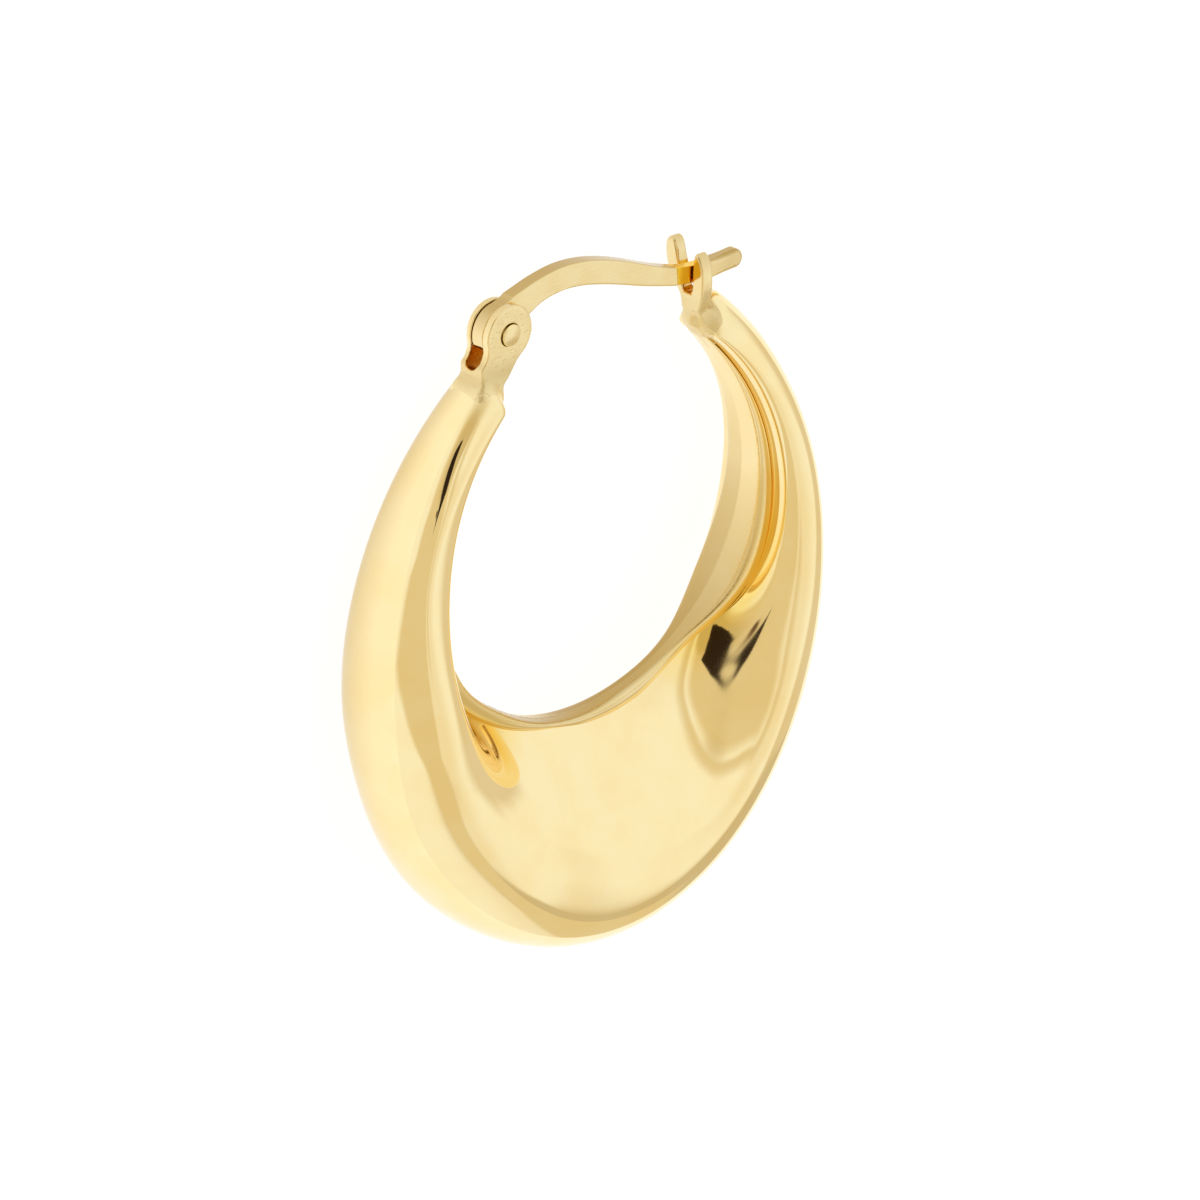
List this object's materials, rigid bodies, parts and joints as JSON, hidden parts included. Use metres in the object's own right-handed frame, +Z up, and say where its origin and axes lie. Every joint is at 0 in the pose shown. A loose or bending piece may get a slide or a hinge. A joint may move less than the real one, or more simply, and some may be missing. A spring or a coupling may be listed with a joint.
{
  "type": "puffed hoop earring",
  "caption": "Hollow puffed hoop with a scooped face on each side, closed by a flat ear wire that swings on a riveted pin and drops into a fork catch.",
  "frame": {"origin": "middle of the overall box, on the surface that the earring lies on", "axes": "+Z up, away from the surface the back face lies on; +Y from the bottom of the hoop towards the ear wire; +X from the hinge leg to the catch leg"},
  "size_m": [0.025, 0.0308, 0.0079],
  "materials": {
    "polished_gold": "mirror polished yellow gold, softly brushed on the inner wall, pale and matt at the solder",
    "pin_gold": "hammered yellow gold, satin",
    "wire_gold": "polished yellow gold with fine drawing lines"
  },
  "bodies": {
    "hoop": {"hoop_body": "polished_gold", "hinge_pin": "pin_gold"},
    "wire": {"ear_wire": "wire_gold"}
  },
  "joints": [
    {"name": "wire_hinge", "type": "hinge", "parent": "hoop", "child": "wire", "pos_m": [-0.00544, 0.01342, 0.00139], "axis": [0, 0.1054, 0.9944], "range_deg": [0, 105]}
  ]
}
